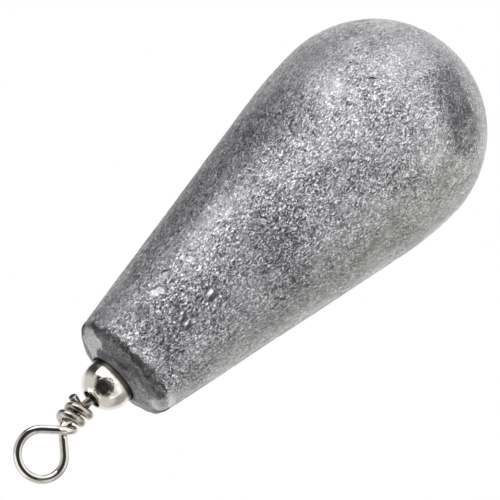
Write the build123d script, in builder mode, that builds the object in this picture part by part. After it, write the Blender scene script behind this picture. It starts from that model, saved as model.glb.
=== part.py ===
from build123d import *
import os
from math import acos, atan2, cos, degrees, hypot, isclose, pi, radians, sin, sqrt, tan

# A pear-shaped fishing lead, cast round one half of a barrel swivel.
# It hangs by its line eye. +Z is up along the long axis and +X lies in the plane of the eye.
# The origin is at the height of the eye's centre, on the axis that the swivel spins about. Millimetres.

# Lead: a round belly, a wide shoulder curve, a straight taper and a low crown at the narrow end
belly_diameter = 20.4
shoulder_radius = 36.7
taper_length = 32.3
neck_diameter = 10.4
crown_rise = 1.0
neck_round = 0.9
seam_height = 0.06
seam_width = 0.25

# Swivel barrel: a plated shell with a domed mouth at each end
barrel_diameter = 4.7
barrel_length = 7.6
barrel_wall = 0.5
barrel_stand = 3.0
mouth_diameter = 1.8
mouth_round = 0.15

# Eye wire: a head in the barrel, a shank, the eye and a tail wrapped round the shank
wire_diameter = 0.8
eye_bore = 3.6
eye_reach = 6.7
eye_offset = 0.5
first_leg_angle = 50
last_leg_angle = 45
leg_bend_radius = 1.0
hook_drop = 3.8
wrap_pitch = 1.0
wrap_lean = 0.14
wrap_turns = 7 / 3
tail_length = 1.1
tail_round = 0.12
head_diameter = 2.7
head_thickness = 1.1

# Clearances
wrap_gap = 0.08
crossing_gap = 0.12
crossing_overlap = 0.35
running_gap = 0.08
barrel_cast_gap = 0.05
wire_cast_gap = 0.02
overrun = 1.0

# How finely the curves are divided
eye_spans = 3
wrap_spans = 10
gap_samples = 480

# Heights along the axis, from the eye's centre down
barrel_top = -eye_reach
barrel_middle = barrel_top - barrel_length / 2
crown_top = barrel_top - barrel_stand
neck_height = crown_top - crown_rise
belly_height = neck_height - taper_length
nose = belly_height - belly_diameter / 2

barrel_radius = barrel_diameter / 2
dome_height = barrel_top - barrel_radius
head_radius = barrel_radius - barrel_wall - running_gap
head_top = dome_height + head_radius
cavity_length = barrel_length - 2 * barrel_wall
cavity_diameter = barrel_diameter - 2 * barrel_wall
socket_length = barrel_length + 2 * barrel_cast_gap
socket_diameter = barrel_diameter + 2 * barrel_cast_gap
barrel_plane = Plane(origin=(0, 0, barrel_middle), x_dir=(1, 0, 0), z_dir=(0, -1, 0))
turn_over = Axis((0, 0, barrel_middle), (1, 0, 0))


def biarc(start, start_way, end, end_way):
    """Draw two arcs that leave start along start_way, meet smoothly and reach end along end_way."""
    chord = end - start
    along = chord.dot(start_way + end_way)
    spread = 2 * (1 - start_way.dot(end_way))
    reach = (sqrt(along**2 + spread * chord.dot(chord)) - along) / spread
    first_corner = start + start_way * reach
    last_corner = end - end_way * reach
    middle = (first_corner + last_corner) * 0.5
    TangentArc(start, middle, tangent=start_way)
    TangentArc(middle, end, tangent=last_corner - first_corner)


# Seen from the front, the wire leaves the shank to the left, goes over the top and comes down on the right
eye_radius = (eye_bore + wire_diameter) / 2
crossing_depth = wire_diameter + crossing_gap
first_way = Vector(-sin(radians(first_leg_angle)), 0, cos(radians(first_leg_angle)))
last_way = Vector(-sin(radians(last_leg_angle)), 0, -cos(radians(last_leg_angle)))
eye_start = pi + radians(first_leg_angle)
eye_sweep = pi + radians(first_leg_angle + last_leg_angle)


def eye_station(share):
    """Give the place and way of the wire at a share of its path round the eye, as it drifts to the front."""
    angle = eye_start - eye_sweep * share
    drift = -crossing_depth * (1 - cos(pi * share)) / 2
    drift_rate = -crossing_depth * pi / 2 * sin(pi * share)
    place = Vector(eye_radius * cos(angle) - eye_offset, drift, eye_radius * sin(angle))
    way = Vector(eye_radius * eye_sweep * sin(angle), drift_rate, -eye_radius * eye_sweep * cos(angle))
    return place, way.normalized()


# The tail's turns run down the shank as a right-handed helix that leans, level behind and steep in front
wrap_radius = wire_diameter + wrap_gap


def wrap_station(share):
    """Give the place and way of the wire at a share of the tail's turns, from the hook at the left."""
    turned = -2 * pi * wrap_turns * share
    angle = pi + turned
    height = wrap_pitch * turned / (2 * pi) + wrap_lean * (1 + cos(angle)) - hook_drop
    climb = wrap_pitch / (2 * pi) - wrap_lean * sin(angle)
    place = Vector(wrap_radius * cos(angle), wrap_radius * sin(angle), height)
    way = Vector(wrap_radius * sin(angle), -wrap_radius * cos(angle), -climb)
    return place, way.normalized()


eye_stations = [eye_station(span / eye_spans) for span in range(eye_spans + 1)]
wrap_stations = [wrap_station(span / wrap_spans) for span in range(wrap_spans + 1)]

# The shank turns into the first leg where that leg's line meets the axis
eye_entry = eye_stations[0][0]
leg_corner = eye_entry - first_way * (eye_entry.X / first_way.X)
bend_reach = leg_bend_radius * tan(radians(first_leg_angle) / 2)
shank_foot = Vector(0, 0, head_top - head_thickness / 2)
shank_top = leg_corner - Vector(0, 0, bend_reach)
leg_foot = leg_corner + first_way * bend_reach
eye_exit = eye_stations[-1][0]
crossing_end = eye_exit + last_way * ((eye_exit.X + crossing_overlap) / -last_way.X)
tail_start, tail_way = wrap_stations[-1]
tail_tip = tail_start + tail_way * tail_length

with BuildLine() as eye_path:
    Line(shank_foot, shank_top)
    TangentArc(shank_top, leg_foot, tangent=Vector(0, 0, 1))
    Line(leg_foot, eye_entry)
    for here, following in zip(eye_stations, eye_stations[1:]):
        biarc(*here, *following)
    Line(eye_exit, crossing_end)
    biarc(crossing_end, last_way, *wrap_stations[0])
    for here, following in zip(wrap_stations, wrap_stations[1:]):
        biarc(*here, *following)
    Line(tail_start, tail_tip)


def least_gap(path):
    """Measure the narrowest gap between stretches of the wire that are more than half a turn apart."""
    apart = pi * wrap_radius / path.length
    points = [(sample / gap_samples, path @ (sample / gap_samples)) for sample in range(gap_samples + 1)]
    pairs = [(a, b) for at, a in points for bt, b in points if bt - at > apart]
    return min((a - b).length for a, b in pairs) - wire_diameter


# Line eye: the wire, upset to a round head that bears on the inside of the barrel's dome
with BuildPart() as line_eye:
    with BuildSketch(Plane.XY.offset(shank_foot.Z)):
        Circle(wire_diameter / 2)
    sweep(path=eye_path.wire())
    tail_end = line_eye.faces().sort_by_distance(tail_tip)[0]
    fillet(tail_end.edges(), tail_round)
    with BuildSketch(Plane.XZ):
        with Locations((0, dome_height)):
            Circle(head_radius)
        with Locations((0, head_top)):
            Rectangle(head_diameter / 2, head_thickness, align=(Align.MIN, Align.MAX), mode=Mode.INTERSECT)
    revolve(axis=Axis.Z)
line_eye.part.label = "line_eye"

# Anchor eye: the same piece on the other end of the barrel, turned end for end
with BuildPart() as anchor_eye:
    add(line_eye.part.rotate(turn_over, 180))
anchor_eye.part.label = "anchor_eye"

# Swivel barrel: a capsule-shaped shell, open at both mouths
with BuildPart() as swivel_barrel:
    with BuildSketch(barrel_plane):
        SlotOverall(barrel_length, barrel_diameter, rotation=90)
        SlotOverall(cavity_length, cavity_diameter, rotation=90, mode=Mode.SUBTRACT)
        Rectangle(mouth_diameter, barrel_length + overrun, mode=Mode.SUBTRACT)
        Rectangle(barrel_diameter, barrel_length, align=(Align.MIN, Align.CENTER), mode=Mode.INTERSECT)
    revolve(axis=Axis.Z)
    mouth_edges = swivel_barrel.edges().filter_by(
        lambda edge: edge.geom_type == GeomType.CIRCLE and isclose(edge.radius, mouth_diameter / 2)
    )
    lips = mouth_edges.sort_by(Axis.Z)
    fillet([lips[0], lips[-1]], mouth_round)
swivel_barrel.part.label = "swivel_barrel"

# The room that the anchor's wire leaves in the lead
with BuildPart() as wire_room:
    with BuildSketch(Plane.XY.offset(shank_foot.Z)):
        Circle(wire_diameter / 2 + wire_cast_gap)
    sweep(path=eye_path.wire())
    extrude(wire_room.faces().sort_by_distance(tail_tip)[0], amount=wire_cast_gap)

# Lead: the taper is tangent to the shoulder curve, which is tangent to the belly
shoulder_centre = belly_diameter / 2 - shoulder_radius
taper_across = neck_diameter / 2 - shoulder_centre
taper_angle = atan2(taper_length, taper_across) - acos(shoulder_radius / hypot(taper_across, taper_length))

with BuildSketch(Plane.XZ) as lead_section:
    with BuildLine():
        CenterArc((0, belly_height), belly_diameter / 2, -90, 90)
        shoulder = CenterArc((shoulder_centre, belly_height), shoulder_radius, 0, degrees(taper_angle))
        Polyline(
            shoulder @ 1,
            (neck_diameter / 2, neck_height),
            (socket_diameter / 2, crown_top),
            (0, crown_top),
            (0, nose),
        )
    make_face()
    fillet(lead_section.vertices().sort_by_distance((neck_diameter / 2, neck_height))[0], neck_round)

with BuildPart() as lead_weight:
    add(lead_section.sketch)
    revolve(axis=Axis.Z)
    # The two halves of the mould leave a low seam all round, in the plane of the eye
    with BuildSketch(Plane.XZ):
        add(lead_section.sketch_local)
        mirror(about=Plane.YZ)
        offset(amount=seam_height)
    extrude(amount=seam_width / 2, both=True)
    with BuildSketch(barrel_plane):
        SlotOverall(socket_length, socket_diameter, rotation=90)
        Rectangle(socket_diameter, socket_length, align=(Align.MIN, Align.CENTER), mode=Mode.INTERSECT)
    revolve(axis=Axis.Z, mode=Mode.SUBTRACT)
    add(wire_room.part.rotate(turn_over, 180), mode=Mode.SUBTRACT)
lead_weight.part.label = "lead_weight"

print(f"narrowest gap between turns of the wire: {least_gap(eye_path.wire()):.3f} mm")
print(f"taper angle: {degrees(taper_angle):.2f} degrees")

os.makedirs("parts", exist_ok=True)
for piece in (lead_weight, swivel_barrel, line_eye, anchor_eye):
    export_step(piece.part, f"parts/{piece.part.label}.step")
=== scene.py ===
"""Dresses a fishing sinker: a cast lead on a plated barrel swivel, in a plain studio."""

from math import acos, atan2, ceil, cos, hypot, pi, radians, sin, sqrt, tan
from random import Random

import bmesh
import bpy
from mathutils import Matrix, Vector, kdtree, noise


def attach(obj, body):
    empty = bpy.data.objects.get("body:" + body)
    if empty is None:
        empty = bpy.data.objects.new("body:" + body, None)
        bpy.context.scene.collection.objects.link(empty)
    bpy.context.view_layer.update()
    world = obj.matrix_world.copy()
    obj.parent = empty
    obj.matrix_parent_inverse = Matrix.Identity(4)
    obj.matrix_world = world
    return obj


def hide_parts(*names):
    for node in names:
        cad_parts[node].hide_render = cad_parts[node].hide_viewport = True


bl_info = {
    "name": "Pear lead on a barrel swivel",
    "version": (1, 0, 0),
    "blender": (4, 5, 0),
    "location": "View3D > Sidebar > Sinker",
    "description": "Dresses a fishing sinker: the cast lead, the plated swivel and a plain studio",
    "category": "Object",
}

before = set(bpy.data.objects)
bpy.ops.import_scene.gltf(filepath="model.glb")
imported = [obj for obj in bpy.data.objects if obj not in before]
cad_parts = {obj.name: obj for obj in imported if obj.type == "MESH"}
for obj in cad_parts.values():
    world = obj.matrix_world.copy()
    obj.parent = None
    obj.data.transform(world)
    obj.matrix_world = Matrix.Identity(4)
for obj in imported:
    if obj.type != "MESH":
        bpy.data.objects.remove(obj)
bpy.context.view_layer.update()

MM = 0.001
WELD = 1e-7

# How finely the curves are divided
BEND_STEP = radians(5)
RIM_STEPS = 8
LIP_STEPS = 5
MOUTH_STEPS = 6
DOME_STEPS = 24
HEAD_STEPS = 3
TAIL_STEPS = 4
EYE_SPANS = 3
WRAP_SPANS = 10


# Sizes and colours that a user would change


def length(name, description, millimetres):
    """A length, given in millimetres and kept in metres."""
    return bpy.props.FloatProperty(
        name=name, description=description, default=millimetres * MM, unit="LENGTH", precision=5
    )


def turn(name, description, degrees):
    """An angle, given in degrees."""
    return bpy.props.FloatProperty(
        name=name, description=description, default=radians(degrees), unit="ROTATION"
    )


def count(name, description, number):
    """How many spans or steps a curve is divided into."""
    return bpy.props.IntProperty(name=name, description=description, default=number, min=3)


def share(name, description, value):
    """A plain number without a unit."""
    return bpy.props.FloatProperty(name=name, description=description, default=value, subtype="FACTOR")


def colour(name, description, red, green, blue):
    """A colour in linear light."""
    return bpy.props.FloatVectorProperty(
        name=name, description=description, default=(red, green, blue), size=3, subtype="COLOR",
        min=0.0, max=1.0,
    )


class LeadSizes(bpy.types.PropertyGroup):
    """The cast lead."""

    belly_diameter: length("Belly diameter", "Across the widest part", 20.4)
    shoulder_radius: length("Shoulder radius", "Curve between the belly and the taper", 36.7)
    taper_length: length("Taper length", "From the belly's centre to the neck", 32.3)
    neck_diameter: length("Neck diameter", "Across the narrow end", 10.4)
    crown_rise: length("Crown rise", "How far the narrow end rises to the barrel", 1.0)
    neck_round: length("Neck round", "Radius on the narrow end's rim", 0.9)
    lip_round: length("Lip round", "Radius where the crown meets the barrel", 0.08)
    seam_height: length("Seam height", "How far the mould's seam stands out", 0.06)
    seam_width: length("Seam width", "Width of the mould's seam at its foot", 0.42)
    cast_gap: length("Cast gap", "Gap between the lead and the barrel", 0.09)
    swell: length("Swell", "Depth of the long, slow hollows in the casting", 0.07)
    dimple: length("Dimple", "Depth of the small hollows in the casting", 0.022)
    lump: length("Lump", "Height of the lumps on the narrow end", 0.16)
    around: count("Steps around", "Faces around the lead", 288)
    span: length("Span", "Length of a face along the lead", 0.19)


class SwivelSizes(bpy.types.PropertyGroup):
    """The swivel's barrel."""

    barrel_diameter: length("Barrel diameter", "Outside the barrel", 4.7)
    barrel_length: length("Barrel length", "Over both domes before the mouths are opened", 7.6)
    barrel_wall: length("Barrel wall", "Thickness of the shell", 0.5)
    barrel_stand: length("Barrel stand", "How far the barrel stands out of the lead", 3.0)
    mouth_diameter: length("Mouth diameter", "Hole that the wire runs in", 1.8)
    mouth_round: length("Mouth round", "Radius on the mouth's outer lip", 0.15)
    eye_reach: length("Eye reach", "From the eye's centre to the top of the barrel's dome", 6.7)
    around: count("Steps around", "Faces around the barrel", 128)


class WireSizes(bpy.types.PropertyGroup):
    """The wire of the two eyes."""

    wire_diameter: length("Wire diameter", "Thickness of the wire", 0.8)
    eye_bore: length("Eye bore", "Inside the eye", 3.6)
    eye_offset: length("Eye offset", "How far the eye is bent to one side", 0.5)
    first_leg: turn("First leg", "Lean of the leg that rises into the eye", 50)
    last_leg: turn("Last leg", "Lean of the leg that comes back across the shank", 45)
    leg_bend: length("Leg bend", "Radius where the shank turns into the first leg", 1.0)
    hook_drop: length("Hook drop", "From the eye's centre to the start of the wraps", 3.8)
    wrap_pitch: length("Wrap pitch", "From one wrap to the next", 1.0)
    wrap_lean: length("Wrap lean", "How far the wraps dip at the front", 0.14)
    wrap_turns: share("Wrap turns", "Turns of the tail round the shank", 7 / 3)
    tail_length: length("Tail length", "Straight end of the tail", 1.1)
    tail_round: length("Tail round", "Radius on the cut end", 0.12)
    head_diameter: length("Head diameter", "The head inside the barrel", 2.7)
    head_thickness: length("Head thickness", "Height of the head", 1.1)
    wrap_gap: length("Wrap gap", "Between the tail and the shank", 0.08)
    crossing_gap: length("Crossing gap", "Where the wire crosses the shank", 0.12)
    crossing_overlap: length("Crossing overlap", "How far the last leg runs past the axis", 0.35)
    running_gap: length("Running gap", "Between the head and the barrel", 0.08)
    around: count("Steps around", "Faces around the wire", 40)


class Finishes(bpy.types.PropertyGroup):
    """Colours of the metals and the studio."""

    bright_lead: colour("Bright lead", "Clean crystals of the casting", 0.94, 0.93, 0.96)
    grey_lead: colour("Grey lead", "The casting's usual grey", 0.42, 0.415, 0.435)
    dark_lead: colour("Dark lead", "Oxide in the hollows", 0.09, 0.09, 0.10)
    nickel: colour("Nickel", "Plate on the barrel", 0.80, 0.765, 0.69)
    wire_nickel: colour("Wire nickel", "Plate on the wire", 0.68, 0.65, 0.605)
    dull_nickel: colour("Dull nickel", "Tarnish on the wraps", 0.34, 0.29, 0.25)
    # Painted shade in the barrel's mouth and on the wire where it enters the mouth
    gap_shade_colour: colour("Grease", "In the barrel's mouth", 0.04, 0.036, 0.032)
    # Painted shade on the barrel beside the lead, and a painted dark reflection with scuffs on its front
    shade_and_scuff_nickel: colour("Stained nickel", "Scuffs and stains on the barrel", 0.07, 0.066, 0.06)
    floor: colour("Floor", "The studio's floor", 0.82, 0.82, 0.82)


# Mesh tools


def spin(mesh, geometry, centre, axis, angle, steps):
    """Turn geometry about an axis and give back the last copy."""
    made = bmesh.ops.spin(
        mesh, geom=geometry, cent=centre, axis=axis, dvec=(0, 0, 0), angle=angle,
        space=Matrix.Identity(4), steps=steps, use_merge=False, use_normal_flip=False, use_duplicate=False,
    )
    return made["geom_last"]


def verts_in(geometry):
    """The vertices among mixed geometry."""
    return [part for part in geometry if isinstance(part, bmesh.types.BMVert)]


def edges_in(geometry):
    """The edges among mixed geometry."""
    return [part for part in geometry if isinstance(part, bmesh.types.BMEdge)]


class Pen:
    """Draws a half section in the XZ plane, then turns it about Z into a round body."""

    def __init__(self, x, z, span):
        self.mesh = bmesh.new()
        self.tip = bmesh.ops.create_vert(self.mesh, co=(x, 0, z))["vert"][0]
        self.span = span

    def line(self, x, z):
        """Go straight to a place."""
        start = self.tip.co.copy()
        way = Vector((x, 0, z)) - start
        steps = max(1, round(way.length / self.span))
        for step in range(steps):
            self.tip = bmesh.ops.extrude_vert_indiv(self.mesh, verts=[self.tip])["verts"][0]
            self.tip.co = start + way * (step + 1) / steps

    def arc(self, x, z, angle, fewest=1):
        """Go round a centre, anticlockwise for a positive angle."""
        radius = (Vector((x, 0, z)) - self.tip.co).length
        steps = max(fewest, round(radius * abs(angle) / self.span))
        last = spin(self.mesh, [self.tip], (x, 0, z), (0, -1, 0), angle, steps)
        self.tip = verts_in(last)[0]

    def corner(self, x, z, next_x, next_z, radius, fewest):
        """Go straight towards a corner and round it, ready to go on to the next place."""
        way_in = (Vector((x, z)) - self.tip.co.xz).normalized()
        way_out = Vector((next_x - x, next_z - z)).normalized()
        angle = atan2(way_in.cross(way_out), way_in.dot(way_out))
        start = Vector((x, z)) - way_in * radius * tan(abs(angle) / 2)
        side = radius if angle > 0 else -radius
        self.line(*start)
        self.arc(start.x - way_in.y * side, start.y + way_in.x * side, angle, fewest)

    def round_body(self, around):
        """Turn the section a quarter of the way round, and mirror that twice."""
        section = self.mesh.verts[:] + self.mesh.edges[:]
        spin(self.mesh, section, (0, 0, 0), (0, 0, 1), pi / 2, around // 4)
        for axis in ("X", "Y"):
            whole = self.mesh.verts[:] + self.mesh.edges[:] + self.mesh.faces[:]
            bmesh.ops.mirror(self.mesh, geom=whole, matrix=Matrix.Identity(4), merge_dist=WELD, axis=axis)
        bmesh.ops.remove_doubles(self.mesh, verts=self.mesh.verts, dist=WELD)
        bmesh.ops.recalc_face_normals(self.mesh, faces=self.mesh.faces)
        return self.mesh


class Wire:
    """Draws a wire out from a ring of edges: straight by extruding it, bent by spinning it."""

    def __init__(self, mesh, ring, place, way):
        self.mesh = mesh
        self.ring = ring
        self.place = place
        self.way = way

    def straight(self, end):
        """Draw straight on to a place."""
        made = bmesh.ops.extrude_edge_only(self.mesh, edges=self.ring)["geom"]
        moved = verts_in(made)
        bmesh.ops.translate(self.mesh, verts=moved, vec=end - self.place)
        self.ring = [edge for edge in edges_in(made) if all(vert in moved for vert in edge.verts)]
        self.place = end

    def bend(self, end):
        """Draw one arc, from the wire's way at its tip, to a place."""
        chord = end - self.place
        inward = (chord - self.way * chord.dot(self.way)).normalized()
        radius = chord.length_squared / (2 * chord.dot(inward))
        axis = self.way.cross(inward)
        angle = 2 * atan2(chord.dot(inward), chord.dot(self.way))
        steps = ceil(angle / BEND_STEP)
        self.ring = edges_in(spin(self.mesh, self.ring, self.place + inward * radius, axis, angle, steps))
        self.way = Matrix.Rotation(angle, 3, axis) @ self.way
        self.place = end

    def sweep_to(self, end, end_way):
        """Draw two arcs that meet smoothly and reach a place along a given way."""
        chord = end - self.place
        along = chord.dot(self.way + end_way)
        spread = 2 * (1 - self.way.dot(end_way))
        reach = (sqrt(along**2 + spread * chord.length_squared) - along) / spread
        self.bend((self.place + self.way * reach + end - end_way * reach) / 2)
        self.bend(end)
        self.way = end_way


def finished(mesh, name, body, nodes, material):
    """Make a mesh into a smooth piece that rides on a body and stands for CAD nodes."""
    for face in mesh.faces:
        face.smooth = True
    data = bpy.data.meshes.new(name)
    mesh.to_mesh(data)
    mesh.free()
    data.materials.append(material)
    piece = bpy.data.objects.new(name, data)
    bpy.context.scene.collection.objects.link(piece)
    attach(piece, body)
    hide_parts(*nodes)


# Shader tools


# Vectors that several finishes use: one drops the height, one is the middle of a colour's range
FLATTEN = (1.0, 1.0, 0.0)
MIDDLE = (0.5, 0.5, 0.5)


class Shade:
    """One output socket of a node. Sums and products of shades add their own Math nodes."""

    def __init__(self, socket):
        self.socket = socket
        self.tree = socket.id_data

    @staticmethod
    def node(tree, kind, settings=None, inputs=None, output=None):
        """Add a node, with its settings and the values or links of its sockets by identifier."""
        made = tree.nodes.new(kind)
        for name, value in (settings or {}).items():
            if name == "stops":
                ramp = made.color_ramp.elements
                ramp.remove(ramp[1])
                ramp[0].color = (*value[0][1], 1.0)
                for place, tint in value[1:]:
                    ramp.new(place).color = (*tint, 1.0)
            else:
                setattr(made, name, value)
        for name, value in (inputs or {}).items():
            socket = next(entry for entry in made.inputs if entry.identifier == name)
            if isinstance(value, Shade):
                tree.links.new(value.socket, socket)
            else:
                socket.default_value = value
        first = Shade(made.outputs[0])
        return first.other(output) if output else first

    def other(self, output):
        """Another output of the same node, by identifier."""
        return Shade(next(entry for entry in self.socket.node.outputs if entry.identifier == output))

    def math(self, operation, *values):
        """This shade and other values through one Math node."""
        names = ("Value", "Value_001", "Value_002")
        return Shade.node(
            self.tree, "ShaderNodeMath", {"operation": operation}, dict(zip(names, (self, *values)))
        )

    def __add__(self, value):
        return self.math("ADD", value)

    def __sub__(self, value):
        return self.math("SUBTRACT", value)

    def __mul__(self, value):
        return self.math("MULTIPLY", value)

    def __rsub__(self, value):
        return (self * -1.0).math("ADD", value)

    __radd__ = __add__
    __rmul__ = __mul__

    def step(self, low, high):
        """Rise smoothly from 0 at low to 1 at high. It falls where high is below low."""
        limits = {"Value": self, "From Min": min(low, high), "From Max": max(low, high)}
        ends = {"To Min": float(low > high), "To Max": float(low <= high)}
        kind = {"interpolation_type": "SMOOTHSTEP"}
        return Shade.node(self.tree, "ShaderNodeMapRange", kind, {**limits, **ends})

    def mix(self, low, high):
        """Blend two colours by this shade."""
        sides = {
            "A_Color": low if isinstance(low, Shade) else (*low, 1.0),
            "B_Color": high if isinstance(high, Shade) else (*high, 1.0),
        }
        settings = {"data_type": "RGBA", "clamp_factor": True}
        inputs = {"Factor_Float": self, **sides}
        return Shade.node(self.tree, "ShaderNodeMix", settings, inputs, "Result_Color")

    def vector(self, operation, *values, scale=None):
        """This vector and others through one Vector Math node."""
        inputs = dict(zip(("Vector", "Vector_001"), (self, *values)))
        if scale is not None:
            inputs["Scale"] = scale
        made = Shade.node(self.tree, "ShaderNodeVectorMath", {"operation": operation}, inputs)
        return made.other("Value") if operation in ("DOT_PRODUCT", "LENGTH", "DISTANCE") else made


def empty_material(name):
    """A new material with only its shader and output."""
    material = bpy.data.materials.new(name)
    material.use_nodes = True
    return material, material.node_tree, material.node_tree.nodes["Principled BSDF"]


def feed(tree, shader, **sockets):
    """Set or link the shader's sockets, with spaces in their names written as underscores."""
    for name, value in sockets.items():
        socket = shader.inputs[name.replace("_", " ")]
        if isinstance(value, Shade):
            tree.links.new(value.socket, socket)
        else:
            socket.default_value = value


def in_millimetres(tree):
    """Places on the piece, in millimetres."""
    return Shade.node(tree, "ShaderNodeTexCoord", output="Object").vector("SCALE", scale=1 / MM)


def clouds(tree, places, scale, detail=2.0, roughness=0.5, seed=0.0):
    """Soft noise from 0 to 1, with its features 1 / scale millimetres across."""
    inputs = {"Vector": places, "W": seed, "Scale": scale, "Detail": detail, "Roughness": roughness}
    return Shade.node(tree, "ShaderNodeTexNoise", {"noise_dimensions": "4D"}, inputs)


# Where the lead's finish changes, in millimetres, from none of it to all of it: up the axis or across
CROWN_EDGE = (-11.7, -11.2)
TABLE_EDGE = (-10.2, -9.9)
BELLY_EDGE = (-22.0, -40.0)
FLANK_EDGE = (-2.8, -6.2)
# The dim side is a painted shade along one side of the lead, which fades towards the belly
DIM_SIDE_EDGE = (3.6, 7.6)
DIM_SIDE_FADE = (-33.0, -42.0)
# The gap shade is a painted shade in the socket and on its lip, where the lead meets the barrel
GAP_SHADE_EDGE = (2.68, 2.50)
GAP_SHADE_FOOT = (-20.0, -15.0)

# The grain and the rubs on the flank run along the casting. Strands, flakes and rubs are so many a millimetre
GRAIN_STRETCH = (1.0, 1.0, 0.55)
RUB_STRETCH = (1.0, 1.0, 0.12)
STRAND_GRAIN = 3.2
STRAND_TURNS = 30.0
FLAKE_GRAIN = 8.8
FLAKE_WARP = 0.28
WARP_GRAIN = 3.8
FLAKE_LEAN = 0.64
RUB_GRAIN = 4.0
GRAIN_CONTRAST = 1.25
GRAIN_DEPTH = 0.03 * MM

# The lead's usual lightness, from dark to bright, and its roughness
LEAD_TONE = 0.495
LEAD_ROUGHNESS = 0.38

# Stains on the casting, and patches painted darker or lighter as shade and light: centre and reach in
# millimetres, how much lighter it is there, and the share of the reach that is even
STAINS_AND_PAINTED_LIGHT = (
    ((-1.7, -7.9, -48.1), 3.9, -0.36, 0.25),
    ((-5.1, -7.3, -47.2), 3.7, -0.36, 0.25),
    ((3.3, -9.3, -40.8), 3.8, -0.05, 0.25),
    ((2.3, -8.9, -47.4), 3.6, 0.20, 0.25),
    ((-2.5, -9.0, -36.0), 13.0, -0.13, 0.25),
    ((-1.8, -9.9, -44.8), 6.0, -0.06, 0.25),
    ((-1.5, -7.5, -24.8), 7.5, -0.24, 0.25),
    ((0.5, -5.9, -14.7), 4.0, -0.20, 0.25),
    ((-2.7, -5.0, -13.5), 3.0, -0.15, 0.25),
    ((2.9, -4.8, -14.1), 2.8, -0.18, 0.25),
    ((-5.4, -8.6, -43.5), 1.6, 0.16, 0.25),
    ((-0.6, -6.4, -18.6), 3.6, -0.14, 0.25),
    ((-3.2, -3.4, -10.5), 1.1, -0.06, 0.25),
    ((2.9, -5.5, -16.6), 1.0, 0.14, 0.25),
    ((5.7, -8.3, -40.5), 3.4, 0.12, 0.25),
    ((-4.0, -5.2, -17.8), 2.4, -0.09, 0.25),
    ((-5.2, -3.2, -14.7), 2.4, -0.09, 0.25),
    ((3.6, -1.1, -10.0), 1.9, 0.56, 0.80),
    ((2.2, -1.7, -9.85), 0.9, -0.60, 0.60),
    ((-4.9, -1.7, -10.9), 1.9, 0.46, 0.50),
)


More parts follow.
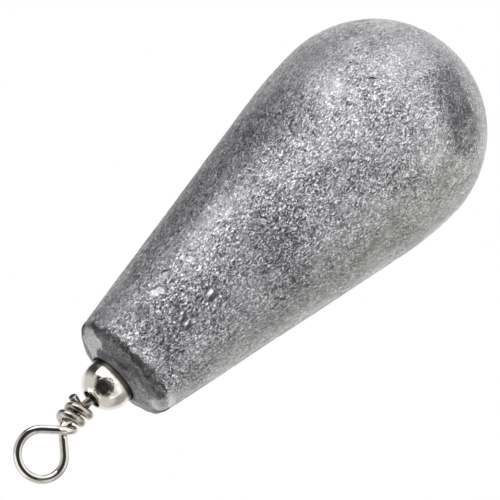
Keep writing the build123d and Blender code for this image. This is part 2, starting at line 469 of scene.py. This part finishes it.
def lead_finish(finishes):
    """Bare cast lead: bright crystals among dark ones under a patchy oxide, smoother where it is rubbed, with
    painted light and shade on its marks, patches, one side and socket.
    """
    material, tree, shader = empty_material("cast_lead")
    places = in_millimetres(tree)
    height = Shade.node(tree, "ShaderNodeSeparateXYZ", inputs={"Vector": places}, output="Z")
    across = height.other("X")
    scar = Shade.node(tree, "ShaderNodeAttribute", {"attribute_name": "scar"}, output="Fac")

    # Crystals: strands that curl along the levels of a noise, broken into flakes with their own tone and lean
    flow = places.vector("MULTIPLY", GRAIN_STRETCH)
    swirl = Shade.node(
        tree, "ShaderNodeTexNoise", {"noise_dimensions": "3D"},
        {"Vector": flow, "Scale": STRAND_GRAIN, "Detail": 2.0, "Roughness": 0.55, "Distortion": 1.2},
    )
    strands = (swirl * STRAND_TURNS).math("SINE").step(-0.3, 1.0)
    warp = clouds(tree, flow, WARP_GRAIN).other("Color").vector("SUBTRACT", MIDDLE)
    bent = flow.vector("ADD", warp.vector("SCALE", scale=FLAKE_WARP))
    flakes = Shade.node(
        tree, "ShaderNodeTexVoronoi", {"feature": "F1"},
        {"Vector": bent, "Scale": FLAKE_GRAIN, "Randomness": 1.0}, "Color",
    )
    lean = flakes.vector("SUBTRACT", MIDDLE)
    flake_tone = Shade.node(tree, "ShaderNodeSeparateXYZ", inputs={"Vector": flakes}, output="X")
    crystal = (strands - 0.36) * (0.30 + flake_tone * 0.80) + (flake_tone - 0.5) * 0.45

    # Oxide in soft clouds, lengthwise rubs on one flank, and a dark, smooth band at the narrow end
    patch = clouds(tree, places, 0.22, 3.0, 0.5)
    cloud = clouds(tree, places, 0.9, 4.0, 0.6, 4.0)
    ragged = clouds(tree, places, 0.9, 3.0, 0.5, 9.0)
    bare = clouds(tree, places, 0.45, 3.0, 0.55, 12.0)
    streaks = clouds(tree, places.vector("MULTIPLY", RUB_STRETCH), RUB_GRAIN, 3.0, 0.6, 5.0)
    crown = (height + (ragged - 0.5) * 1.6).step(*CROWN_EDGE)
    table = (height - across * 0.12).step(*TABLE_EDGE)
    flank = across.step(*FLANK_EDGE)
    # The marks' painted light and shade: a chip's facet a little lighter, a burr's lit side a painted
    # highlight, and the walls painted dark as shadow
    facet = scar.step(0.05, 0.9)
    gleam = scar.step(1.0, 1.5)
    slit_shadow = scar.step(-0.05, -0.5)
    smooth = crown.math("MAXIMUM", facet).math("MAXIMUM", slit_shadow)
    belly = height.step(*BELLY_EDGE)
    # Painted shade along one side of the lead, less on the belly
    dim_side = across.step(*DIM_SIDE_EDGE) * (0.32 - height.step(*DIM_SIDE_FADE) * 0.26)
    # Painted shade in the socket and on its lip, where the lead meets the barrel
    from_axis = places.vector("MULTIPLY", FLATTEN).vector("LENGTH")
    gap_shade = from_axis.step(*GAP_SHADE_EDGE) * height.step(*GAP_SHADE_FOOT)

    # How light the lead is: places first, with the marks' painted highlights and shadows and the painted
    # shade in the socket, then stains, patches of painted light and shade, the painted shade along one side
    # and rubs, then the crystals, stronger where it is bare
    tone = LEAD_TONE + belly * 0.08 + (patch - 0.5) * 0.55
    tone = tone + (cloud - 0.5) * (0.55 - crown * 0.40) - crown * 0.52
    tone = tone + table * 0.22 + facet * 0.08 + gleam * 0.40 - slit_shadow * 0.42 - gap_shade * 0.5
    # Stains, and patches painted darker or lighter as shade and light
    stains_and_painted_light = 0.0
    for centre, reach, lighter, even in STAINS_AND_PAINTED_LIGHT:
        away = places.vector("DISTANCE", centre) + (ragged - 0.5) * reach * 0.6
        stains_and_painted_light = away.step(reach, reach * even) * lighter + stains_and_painted_light
    tone = tone + stains_and_painted_light + (streaks - 0.5) * flank * 0.35 - flank * 0.03 - dim_side
    contrast = (1.0 - smooth * 0.65) * (1.0 - flank * 0.20) * (0.62 + bare.step(0.36, 0.60) * 0.40)
    contrast = contrast * (1.0 - stains_and_painted_light.step(-0.10, -0.40) * 0.4)
    tone = tone + crystal * contrast * GRAIN_CONTRAST
    colour = Shade.node(
        tree, "ShaderNodeValToRGB",
        {"stops": ((0.0, finishes.dark_lead), (0.45, finishes.grey_lead), (1.0, finishes.bright_lead))},
        {"Fac": tone},
    )
    tint = flank.math("MAXIMUM", crown * 0.7).mix((1.0, 1.0, 1.0), (1.0, 1.0, 0.94))
    colour = colour.vector("MULTIPLY", tint)

    normal = Shade.node(tree, "ShaderNodeNewGeometry", output="Normal")
    leaning = normal.vector("ADD", lean.vector("SCALE", scale=contrast * FLAKE_LEAN)).vector("NORMALIZE")
    bumped = Shade.node(
        tree, "ShaderNodeBump",
        inputs={"Strength": 0.5, "Distance": GRAIN_DEPTH, "Height": strands * contrast, "Normal": leaning},
    )
    rough = LEAD_ROUGHNESS - (cloud - 0.5) * 0.2 + facet * 0.05
    feed(tree, shader, Base_Color=colour, Roughness=rough, Metallic=0.82, Normal=bumped)
    return material


# Wear and painted shade on the plate, in millimetres: the height it is dull below (tarnish on the wraps,
# painted shade on the barrel beside the lead), how soft that edge is, how dull it gets, and a scuffed place
# that holds a painted dark reflection and a painted shade at the mouth, each with a centre and a reach
BARREL_WEAR_AND_SHADE = {
    "dull_below": -9.28,
    "dull_edge": 0.16,
    "dull_share": 1.0,
    "scuff_and_reflection": ((0.0, -2.1, -8.0), 1.0),
    "gap_shade": ((0.0, 0.0, -6.75), 1.04),
}
WIRE_WEAR_AND_SHADE = {
    "dull_below": -3.7,
    "dull_edge": 0.5,
    "dull_share": 0.55,
    "scuff_and_reflection": ((0.0, -0.8, -4.6), 0.6),
    "gap_shade": ((0.0, 0.0, -7.7), 1.0),
}

# The eye's reflections lean, as on an eye bent a little: the slope, and the height that it starts at
EYE_LEAN = (0.32, -2.6)
PLATE_ROUGHNESS = 0.07
RUB_DEPTH = 0.02 * MM


def plate_finish(name, plate, dull, gap_shade_colour, dull_below, dull_edge, dull_share, scuff_and_reflection, gap_shade, lean=None):
    """Bright nickel plate, dull below a height (tarnish on the wraps, painted shade on the barrel beside the
    lead), with a scuffed place that holds a painted dark reflection, painted shade at the mouth, and a lean
    if given.
    """
    material, tree, shader = empty_material(name)
    places = in_millimetres(tree)
    height = Shade.node(tree, "ShaderNodeSeparateXYZ", inputs={"Vector": places}, output="Z")
    tarnish = clouds(tree, places, 1.4, 4.0, 0.6)
    specks = clouds(tree, places, 7.0, 2.0, 0.6, 3.0)
    # Dull below a height: tarnish on the wraps, and on the barrel a painted shade beside the lead
    tarnish_band_and_shade = (height + (tarnish - 0.5) * dull_edge * 2.4).step(dull_below + dull_edge, dull_below - dull_edge)
    speck = specks.step(0.62, 0.7)
    grit = clouds(tree, places, 3.8, 2.0, 0.5, 8.0)
    # A scuffed place on the front that also holds a painted dark reflection
    scuffed_and_reflected = (places.vector("DISTANCE", scuff_and_reflection[0]) + (tarnish - 0.5) * 1.2).step(scuff_and_reflection[1], scuff_and_reflection[1] * 0.85)
    # Painted shade in the barrel's mouth and on the wire where it enters it
    gap_shaded = places.vector("DISTANCE", gap_shade[0]).step(gap_shade[1], gap_shade[1] - 0.1)
    film_and_shade = tarnish.step(0.45, 0.75) * 0.25 + tarnish_band_and_shade * dull_share + speck * 0.25
    film_and_shade = (film_and_shade + scuffed_and_reflected * (0.30 + grit.step(0.58, 0.44) * 0.50)).math("MINIMUM", 1.0)
    rub = clouds(tree, places, 16.0, 2.0, 0.5, 6.0) + grit * scuffed_and_reflected * 16.0
    surface = {"Strength": 0.14, "Distance": RUB_DEPTH, "Height": rub}
    if lean:
        slope, start = lean
        tip = (height - start).math("MAXIMUM", 0.0) * -slope
        surface["Normal"] = Shade.node(
            tree, "ShaderNodeBump", inputs={"Strength": 1.0, "Distance": MM, "Height": tip}
        )
    feed(
        tree, shader, Base_Color=gap_shaded.mix(film_and_shade.mix(plate, dull), gap_shade_colour), Metallic=1.0,
        Roughness=PLATE_ROUGHNESS + film_and_shade * 0.22 + gap_shaded * 0.3,
        Normal=Shade.node(tree, "ShaderNodeBump", inputs=surface),
    )
    return material


# The lead


# Marks on the casting: height in millimetres, angle in degrees, length, width and depth in millimetres, and
# lean in degrees. A chip has a depth above zero, a burr one below
MARKS = (
    (-18.1, -56, 0.9, 0.7, 0.10, 20),
    (-17.6, -47, 0.8, 0.6, 0.08, -20),
    (-16.4, -61, 1.5, 1.0, 0.03, 35),
    (-19.4, -95, 1.3, 0.8, -0.20, -20),
    (-16.2, -92, 1.2, 0.7, -0.22, -30),
    (-16.1, -100, 1.1, 0.6, -0.16, -25),
    (-12.0, -117, 1.3, 0.40, 0.12, 5),
    (-10.5, -134, 1.6, 0.9, 0.25, 80),
    (-27.6, -82, 0.8, 0.4, 0.10, 60),
    (-43.2, -55, 0.7, 0.45, 0.14, 40),
    (-43.3, -70, 0.8, 0.35, 0.13, 50),
    (-44.5, -52, 0.5, 0.4, 0.10, 0),
    (-33.2, -19, 1.1, 0.4, 0.10, 0),
    (-33.8, -163, 1.8, 0.3, 0.06, 10),
    (-27.1, -146, 0.5, 0.4, 0.08, 0),
    (-45.0, -140, 0.4, 0.4, 0.08, 0),
    (-40.5, -141, 0.5, 0.35, 0.08, 30),
    (-38.8, -144, 0.5, 0.3, 0.07, 60),
)


# Small nicks over the rest of the casting: their seed and number, and the least and most of each measure
NICK_SEED = 11
NICKS = 70
NICK_HEIGHT = (-51.0, -12.0)
NICK_ANGLE = (-10.0, 190.0)
NICK_LENGTH = (0.4, 1.4)
NICK_SHARE = (0.35, 0.8)
NICK_DEPTH = (0.03, 0.12)
NICK_LEAN = (-90.0, 90.0)

# Shape of the marks: where they are looked for, how far the faces under them are divided, how ragged their
# edges are, where across them the crest of a chip or a burr lies, and how a burr's side with the painted
# highlight is noted
MARK_RADIUS = 8
DIVIDE_REACH = 0.6
RAGGED_SHARE = 0.4
RAGGED_GRAIN = 2.5
CHIP_CREST = 0.5
BURR_CREST = 0.1
BURR_GLEAM = 2.0

# Hollows and lumps of the casting: features per millimetre, and where on the crown the lumps begin
SWELL_GRAIN = 0.16
DIMPLE_GRAIN = 0.9
LUMP_GRAIN = 1.1
LUMP_SHIFT = Vector((7, 0, 0))
LUMP_FOOT = -12.5
LUMP_FADE = 1.5
LUMP_HOLE = 2.6
LUMP_RIM = 0.8


def scattered_marks():
    """Small nicks, scattered by chance with a fixed seed."""
    dice = Random(NICK_SEED)
    marks = []
    for _ in range(NICKS):
        height = dice.uniform(*NICK_HEIGHT)
        angle = dice.uniform(*NICK_ANGLE)
        long = dice.uniform(*NICK_LENGTH)
        wide = long * dice.uniform(*NICK_SHARE)
        depth = dice.uniform(*NICK_DEPTH)
        lean = dice.uniform(*NICK_LEAN)
        marks.append((height, angle, long, wide, depth, lean))
    return marks


def mark_places(verts, marks):
    """A search tree of the vertices, and each mark's place among them."""
    tree = kdtree.KDTree(len(verts))
    for number, vert in enumerate(verts):
        tree.insert(vert.co, number)
    tree.balance()
    places = []
    for height, angle, *_ in marks:
        way = Vector((cos(radians(angle)), sin(radians(angle)), 0))
        places.append(tree.find(way * MARK_RADIUS * MM + Vector((0, 0, height * MM)))[0])
    return tree, places


def divide_under(mesh, marks):
    """Divide the faces under the marks, so that their edges come out crisp."""
    verts = mesh.verts[:]
    tree, places = mark_places(verts, marks)
    edges = set()
    for about, mark in zip(places, marks):
        for _, number, _ in tree.find_range(about, mark[2] * DIVIDE_REACH * MM):
            edges.update(verts[number].link_edges)
    bmesh.ops.subdivide_edges(mesh, edges=list(edges), cuts=2, use_grid_fill=True)


def press_marks(mesh, marks, skin):
    """Chip or raise the skin. A mark is a facet that ends at a steep wall, and its sides are noted for
    painted light and shade: a lighter facet on a chip, a highlight on a burr's crest side, and a shadow on
    the wall.
    """
    scar = mesh.verts.layers.float["scar"]
    tree, places = mark_places(skin, marks)
    for about, (_, _, long, wide, depth, lean) in zip(places, marks):
        out = skin[tree.find(about)[1]].normal.copy()
        sideways = Vector((0, 0, 1)).cross(out).normalized()
        upwards = out.cross(sideways)
        for place, number, _ in tree.find_range(about, long * MM):
            vert = skin[number]
            off = place - about
            x = off.dot(sideways) / MM
            z = off.dot(upwards) / MM
            ragged = RAGGED_SHARE * noise.noise(place / MM * RAGGED_GRAIN)
            along = (z * cos(radians(lean)) + x * sin(radians(lean))) / (long / 2)
            inside = sqrt(max(0.0, 1.0 - along**2)) + WELD
            across = (x * cos(radians(lean)) - z * sin(radians(lean))) / (wide / 2) / inside + ragged
            crest = CHIP_CREST if depth > 0.0 else BURR_CREST
            fall = inside * max(0.0, min((across + 1.0) / (1.0 + crest), (1.0 - across) / (1.0 - crest)))
            vert.co -= out * depth * MM * fall
            if fall > 0.0:
                if depth > 0.0:
                    vert[scar] = inside if across < crest else -inside
                else:
                    vert[scar] = -inside if across < crest else inside * BURR_GLEAM


class SINKER_OT_lead(bpy.types.Operator):
    """Cast the pear-shaped lead, with its seam, hollows and nicks"""

    bl_idname = "sinker.lead"
    bl_label = "Cast the lead"

    def execute(self, context):
        lead = context.scene.sinker_lead
        swivel = context.scene.sinker_swivel
        belly = lead.belly_diameter / 2
        crown_top = -swivel.eye_reach - swivel.barrel_stand
        neck_height = crown_top - lead.crown_rise
        belly_height = neck_height - lead.taper_length
        neck = lead.neck_diameter / 2
        socket = swivel.barrel_diameter / 2 + lead.cast_gap
        socket_foot = -swivel.eye_reach - swivel.barrel_length + swivel.barrel_diameter / 2
        shoulder = belly - lead.shoulder_radius
        across = neck - shoulder
        reach = hypot(across, lead.taper_length)
        taper = atan2(lead.taper_length, across) - acos(lead.shoulder_radius / reach)

        pen = Pen(0, belly_height - belly, lead.span)
        pen.arc(0, belly_height, pi / 2)
        pen.arc(shoulder, belly_height, taper)
        pen.corner(neck, neck_height, socket, crown_top, lead.neck_round, RIM_STEPS)
        pen.corner(socket, crown_top, socket, socket_foot, lead.lip_round, LIP_STEPS)
        pen.line(socket, socket_foot)
        pen.arc(0, socket_foot, -pi / 2)
        mesh = pen.round_body(lead.around)
        divide_under(mesh, MARKS)
        mesh.verts.layers.float.new("scar")
        mesh.normal_update()

        rim = socket + lead.lip_round
        under_socket = socket_foot - 2 * socket
        skin = [vert for vert in mesh.verts if vert.co.xy.length > rim or vert.co.z < under_socket]
        press_marks(mesh, (*MARKS, *scattered_marks()), skin)
        self.settle(mesh, lead, skin)
        finish = lead_finish(context.scene.sinker_finishes)
        finished(mesh, "cast_lead", "weight", ["lead_weight"], finish)
        return {"FINISHED"}

    def settle(self, mesh, lead, skin):
        """Sink the skin by slow and small hollows, and leave the seam standing."""
        mesh.normal_update()
        outward = [vert.normal.copy() for vert in skin]
        for vert, out in zip(skin, outward):
            place = vert.co / MM
            slow = 0.5 + 0.5 * noise.noise(place * SWELL_GRAIN)
            small = 0.5 + 0.5 * noise.noise(place * DIMPLE_GRAIN)
            seam = max(0.0, 1.0 - abs(vert.co.y) / (lead.seam_width / 2))
            above = (place.z - LUMP_FOOT) / LUMP_FADE
            outside = (place.xy.length - LUMP_HOLE) / LUMP_RIM
            crown = max(0.0, min(1.0, above, outside))
            lump = crown * noise.noise(place * LUMP_GRAIN + LUMP_SHIFT)
            vert.co += out * (
                lead.seam_height * seam + lead.lump * lump - lead.swell * slow - lead.dimple * small
            )


# The swivel


class SINKER_OT_barrel(bpy.types.Operator):
    """Turn the swivel's plated barrel"""

    bl_idname = "sinker.barrel"
    bl_label = "Make the barrel"

    def execute(self, context):
        swivel = context.scene.sinker_swivel
        outside = swivel.barrel_diameter / 2
        inside = outside - swivel.barrel_wall
        mouth = swivel.mouth_diameter / 2
        top = -swivel.eye_reach - outside
        foot = -swivel.eye_reach - swivel.barrel_length + outside
        inner_turn = acos(mouth / inside)
        lip = swivel.mouth_round
        lip_turn = acos((mouth + lip) / (outside - lip))
        lip_rise = (outside - lip) * sin(lip_turn)

        pen = Pen(mouth, foot - inside * sin(inner_turn), outside / DOME_STEPS)
        pen.arc(0, foot, inner_turn)
        pen.line(inside, top)
        pen.arc(0, top, inner_turn)
        pen.line(mouth, top + lip_rise)
        pen.arc(mouth + lip, top + lip_rise, lip_turn - pi, MOUTH_STEPS)
        pen.arc(0, top, -lip_turn)
        pen.line(outside, foot)
        pen.arc(0, foot, -lip_turn)
        pen.arc(mouth + lip, foot - lip_rise, lip_turn - pi, MOUTH_STEPS)
        pen.line(mouth, foot - inside * sin(inner_turn))
        mesh = pen.round_body(swivel.around)
        finishes = context.scene.sinker_finishes
        finish = plate_finish(
            "barrel_nickel", finishes.nickel, finishes.shade_and_scuff_nickel, finishes.gap_shade_colour, **BARREL_WEAR_AND_SHADE
        )
        finished(mesh, "swivel_shell", "weight", ["swivel_barrel"], finish)
        return {"FINISHED"}


class SINKER_OT_eyes(bpy.types.Operator):
    """Bend the wire of the line eye, and the like wire that anchors the swivel in the lead"""

    bl_idname = "sinker.eyes"
    bl_label = "Bend the eyes"

    def execute(self, context):
        swivel = context.scene.sinker_swivel
        wire = context.scene.sinker_wire
        finishes = context.scene.sinker_finishes
        finish = plate_finish(
            "wire_nickel", finishes.wire_nickel, finishes.dull_nickel, finishes.gap_shade_colour, **WIRE_WEAR_AND_SHADE,
            lean=EYE_LEAN,
        )
        middle = Vector((0, 0, -swivel.eye_reach - swivel.barrel_length / 2))
        turn_over = Matrix.Translation(middle) @ Matrix.Rotation(pi, 4, "X") @ Matrix.Translation(-middle)

        finished(self.bent(swivel, wire), "eye_wire", "eye", ["line_eye"], finish)
        anchor = self.bent(swivel, wire)
        bmesh.ops.transform(anchor, matrix=turn_over, verts=anchor.verts)
        finished(anchor, "anchor_wire", "weight", ["anchor_eye"], finish)
        return {"FINISHED"}

    def bent(self, swivel, wire):
        """The whole wire: head, shank, eye and wrapped tail."""
        half = wire.wire_diameter / 2
        dome_height = -swivel.eye_reach - swivel.barrel_diameter / 2
        head_radius = swivel.barrel_diameter / 2 - swivel.barrel_wall - wire.running_gap
        head_foot = dome_height + head_radius - wire.head_thickness
        rim = wire.head_diameter / 2
        rim_turn = acos(rim / head_radius)
        neck_turn = acos(half / head_radius) - rim_turn

        pen = Pen(0, head_foot, half / HEAD_STEPS)
        pen.line(rim, head_foot)
        pen.line(rim, dome_height + head_radius * sin(rim_turn))
        pen.arc(0, dome_height, neck_turn)
        shank_foot = pen.tip.co.z
        mesh = pen.round_body(wire.around)
        ring = [edge for edge in mesh.edges if edge.is_boundary]

        eye_radius = (wire.eye_bore + wire.wire_diameter) / 2
        depth = wire.wire_diameter + wire.crossing_gap
        sweep = pi + wire.first_leg + wire.last_leg
        wrap_radius = wire.wire_diameter + wire.wrap_gap

        def eye_station(part):
            """Place and way of the wire at a part of its path round the eye, as it drifts to the front."""
            angle = pi + wire.first_leg - sweep * part
            drift = -depth * (1 - cos(pi * part)) / 2
            place = Vector((eye_radius * cos(angle) - wire.eye_offset, drift, eye_radius * sin(angle)))
            rate = -depth * pi / 2 * sin(pi * part)
            way = Vector((eye_radius * sweep * sin(angle), rate, -eye_radius * sweep * cos(angle)))
            return place, way.normalized()

        def wrap_station(part):
            """Place and way of the wire at a part of the tail's turns, from the hook at the left."""
            turned = -2 * pi * wire.wrap_turns * part
            angle = pi + turned
            height = wire.wrap_pitch * turned / (2 * pi) + wire.wrap_lean * (1 + cos(angle)) - wire.hook_drop
            climb = wire.wrap_pitch / (2 * pi) - wire.wrap_lean * sin(angle)
            place = Vector((wrap_radius * cos(angle), wrap_radius * sin(angle), height))
            way = Vector((wrap_radius * sin(angle), -wrap_radius * cos(angle), -climb))
            return place, way.normalized()

        first_way = Vector((-sin(wire.first_leg), 0, cos(wire.first_leg)))
        last_way = Vector((-sin(wire.last_leg), 0, -cos(wire.last_leg)))
        eye_entry = eye_station(0)[0]
        eye_exit = eye_station(1)[0]
        corner = eye_entry - first_way * (eye_entry.x / first_way.x)
        reach = wire.leg_bend * tan(wire.first_leg / 2)
        crossing_end = eye_exit + last_way * ((eye_exit.x + wire.crossing_overlap) / -last_way.x)

        path = Wire(mesh, ring, Vector((0, 0, shank_foot)), Vector((0, 0, 1)))
        path.straight(corner - Vector((0, 0, reach)))
        path.bend(corner + first_way * reach)
        path.straight(eye_entry)
        path.way = first_way
        for span in range(EYE_SPANS):
            path.sweep_to(*eye_station((span + 1) / EYE_SPANS))
        path.straight(crossing_end)
        path.way = last_way
        for span in range(WRAP_SPANS + 1):
            path.sweep_to(*wrap_station(span / WRAP_SPANS))
        path.straight(path.place + path.way * wire.tail_length)
        end = bmesh.ops.contextual_create(mesh, geom=path.ring)["faces"]
        bmesh.ops.bevel(
            mesh, geom=end[0].edges[:], offset=wire.tail_round, offset_type="OFFSET", segments=TAIL_STEPS,
            profile=0.5, affect="EDGES", material=-1,
        )
        bmesh.ops.recalc_face_normals(mesh, faces=mesh.faces)
        return mesh


# The studio


class SINKER_OT_stage(bpy.types.Operator):
    """Set the floor, lamps, surroundings and camera"""

    bl_idname = "sinker.stage"
    bl_label = "Set the stage"

    # Lengths are in metres. The plain floor fades to white between two distances, and a level of 1 is white
    floor_height = -0.16
    floor_radius = 2.0
    floor_steps = 96
    floor_plain = (0.03, 0.11)
    view_tilt = radians(16.5)
    view_roll = radians(43.4)
    view_distance = 1.4
    view_centre = Vector((-0.00004, 0.0, -0.02711))
    view_width = 0.04449
    near_clip = 0.01
    wall_level = 0.74
    room_level = 0.05

    def execute(self, context):
        self.lay_floor(context)
        self.surround(context)
        self.hang_lamps(context)
        self.place_camera(context)
        context.scene.view_settings.view_transform = "Standard"
        return {"FINISHED"}

    def upright(self):
        """The way up the sinker's axis as the camera sees it, square to its view."""
        return Vector((0, sin(self.view_tilt), cos(self.view_tilt)))

    def axes(self):
        """The camera's right, up and backward ways for the photographed view."""
        across = Vector((1, 0, 0))
        right = -cos(self.view_roll) * self.upright() - sin(self.view_roll) * across
        up = -sin(self.view_roll) * self.upright() + cos(self.view_roll) * across
        return right, up, right.cross(up)

    def place_camera(self, context):
        """A long lens, so that the sinker is drawn almost without perspective."""
        data = bpy.data.cameras.new("camera")
        data.lens = data.sensor_width * self.view_distance / self.view_width
        data.clip_start = self.near_clip
        camera = bpy.data.objects.new("camera", data)
        right, up, back = self.axes()
        turned = Matrix((right, up, back)).transposed().to_4x4()
        camera.matrix_world = Matrix.Translation(self.view_centre + back * self.view_distance) @ turned
        context.scene.collection.objects.link(camera)
        context.scene.camera = camera

    def hang_lamps(self, context):
        """Soft boxes: name, way from the sinker, distance, width, height and brightness."""
        lamps = (
            ("side_box", (0.82, -0.56, -0.06), 0.45, 0.36, 0.26, 2.2),
            ("fill_box", (-0.80, -0.55, 0.25), 0.60, 0.40, 0.60, 0.6),
            ("top_box", (0.10, 0.25, 1.0), 0.50, 0.40, 0.40, 0.6),
        )
        for name, way, distance, width, height, brightness in lamps:
            data = bpy.data.lights.new(name, "AREA")
            data.shape = "RECTANGLE"
            data.size = width
            data.size_y = height
            data.energy = brightness * width * height * pi
            lamp = bpy.data.objects.new(name, data)
            away = Vector(way).normalized()
            lamp.location = self.view_centre + away * distance
            lamp.rotation_euler = away.to_track_quat("Z", "Y").to_euler()
            context.scene.collection.objects.link(lamp)

    def level(self, tree, way):
        """How bright the studio is each way.

        The walls are pale, with one dim corner. White lies behind the sinker and on the table in front of it,
        and the room round the camera is dark.
        """
        facing = way.vector("DOT_PRODUCT", tuple(self.axes()[2]))
        sideways = way.vector("DOT_PRODUCT", (1.0, 0.0, 0.0))
        along = way.vector("DOT_PRODUCT", tuple(-self.upright()))
        height = way.vector("DOT_PRODUCT", (0.0, 0.0, 1.0))
        downward = along.step(0.10, 0.60)
        front = facing.step(0.42, 0.60) * height.step(0.0, 0.2)
        table = height.step(0.10, -0.10) * height.step(-0.85, -0.55) * facing.step(0.0, 0.35)
        level_band = along.step(-0.48, -0.06) * (1.0 - downward * 0.7)
        corner = sideways.step(0.35, 0.75) * facing.step(0.45, 0.10) * level_band
        behind = (facing + corner * 0.30).step(-0.40, -0.75)
        dim_side = sideways.step(-0.30, -0.90) * height.step(0.50, 0.20)
        walls = self.wall_level + downward * 0.42 + table * 0.30 - corner * 0.68 - dim_side * 0.34
        return (walls * (1.0 - front) + front * self.room_level) * (1.0 - behind) + behind

    def surround(self, context):
        """Pale surroundings, darker on the camera's side, that the camera itself sees as white."""
        world = bpy.data.worlds.new("studio")
        world.use_nodes = True
        context.scene.world = world
        tree = world.node_tree
        level = self.level(tree, Shade.node(tree, "ShaderNodeTexCoord", output="Generated"))
        seen = Shade.node(tree, "ShaderNodeLightPath", output="Is Camera Ray")
        strength = level.math("MAXIMUM", seen)
        feed(tree, tree.nodes["Background"], Color=(1.0, 1.0, 1.0, 1.0), Strength=strength)

    def lay_floor(self, context):
        """A round floor, plain under the sinker and white further off."""
        material, tree, shader = empty_material("studio_floor")
        feed(tree, shader, Base_Color=(*context.scene.sinker_finishes.floor, 1.0), Roughness=0.8)
        places = Shade.node(tree, "ShaderNodeTexCoord", output="Object")
        away = places.vector("SUBTRACT", tuple(self.view_centre)).vector("NORMALIZE")
        far = places.vector("MULTIPLY", FLATTEN).vector("LENGTH").step(*self.floor_plain)
        camera = Shade.node(tree, "ShaderNodeLightPath", output="Is Camera Ray")
        mirrored = camera.other("Is Glossy Ray").math("MAXIMUM", camera.other("Is Transmission Ray"))
        seen = far * camera.math("MAXIMUM", mirrored)
        level = self.level(tree, away).math("MAXIMUM", camera)
        white = Shade.node(tree, "ShaderNodeEmission", inputs={"Color": level, "Strength": 1.0})
        plain = Shade(shader.outputs[0])
        joined = Shade.node(
            tree, "ShaderNodeMixShader", inputs={"Fac": seen, "Shader": plain, "Shader_001": white}
        )
        tree.links.new(joined.socket, tree.nodes["Material Output"].inputs["Surface"])

        mesh = bmesh.new()
        bmesh.ops.create_circle(mesh, cap_ends=True, radius=self.floor_radius, segments=self.floor_steps)
        bmesh.ops.translate(mesh, verts=mesh.verts, vec=(0, 0, self.floor_height))
        data = bpy.data.meshes.new("floor")
        mesh.to_mesh(data)
        mesh.free()
        data.materials.append(material)
        floor = bpy.data.objects.new("floor", data)
        context.scene.collection.objects.link(floor)


class SINKER_PT_panel(bpy.types.Panel):
    """Sizes, finishes and the steps that make the sinker"""

    bl_idname = "SINKER_PT_panel"
    bl_label = "Sinker"
    bl_space_type = "VIEW_3D"
    bl_region_type = "UI"
    bl_category = "Sinker"

    def draw(self, context):
        for name in GROUPS:
            group = getattr(context.scene, name)
            box = self.layout.box()
            for entry in group.__annotations__:
                box.prop(group, entry)
        for step in STEPS:
            self.layout.operator(step.bl_idname)


GROUPS = {
    "sinker_lead": LeadSizes,
    "sinker_swivel": SwivelSizes,
    "sinker_wire": WireSizes,
    "sinker_finishes": Finishes,
}
STEPS = (SINKER_OT_lead, SINKER_OT_barrel, SINKER_OT_eyes, SINKER_OT_stage)
CLASSES = (*GROUPS.values(), *STEPS, SINKER_PT_panel)


def register():
    """Register the classes and hang their sizes and finishes on the scene."""
    for entry in CLASSES:
        bpy.utils.register_class(entry)
    for name, group in GROUPS.items():
        setattr(bpy.types.Scene, name, bpy.props.PointerProperty(type=group))


def unregister():
    """Take all of that away again."""
    for name in GROUPS:
        delattr(bpy.types.Scene, name)
    for entry in reversed(CLASSES):
        bpy.utils.unregister_class(entry)


def main():
    register()
    bpy.ops.sinker.lead()
    bpy.ops.sinker.barrel()
    bpy.ops.sinker.eyes()
    bpy.ops.sinker.stage()


if __name__ == "__main__":
    main()
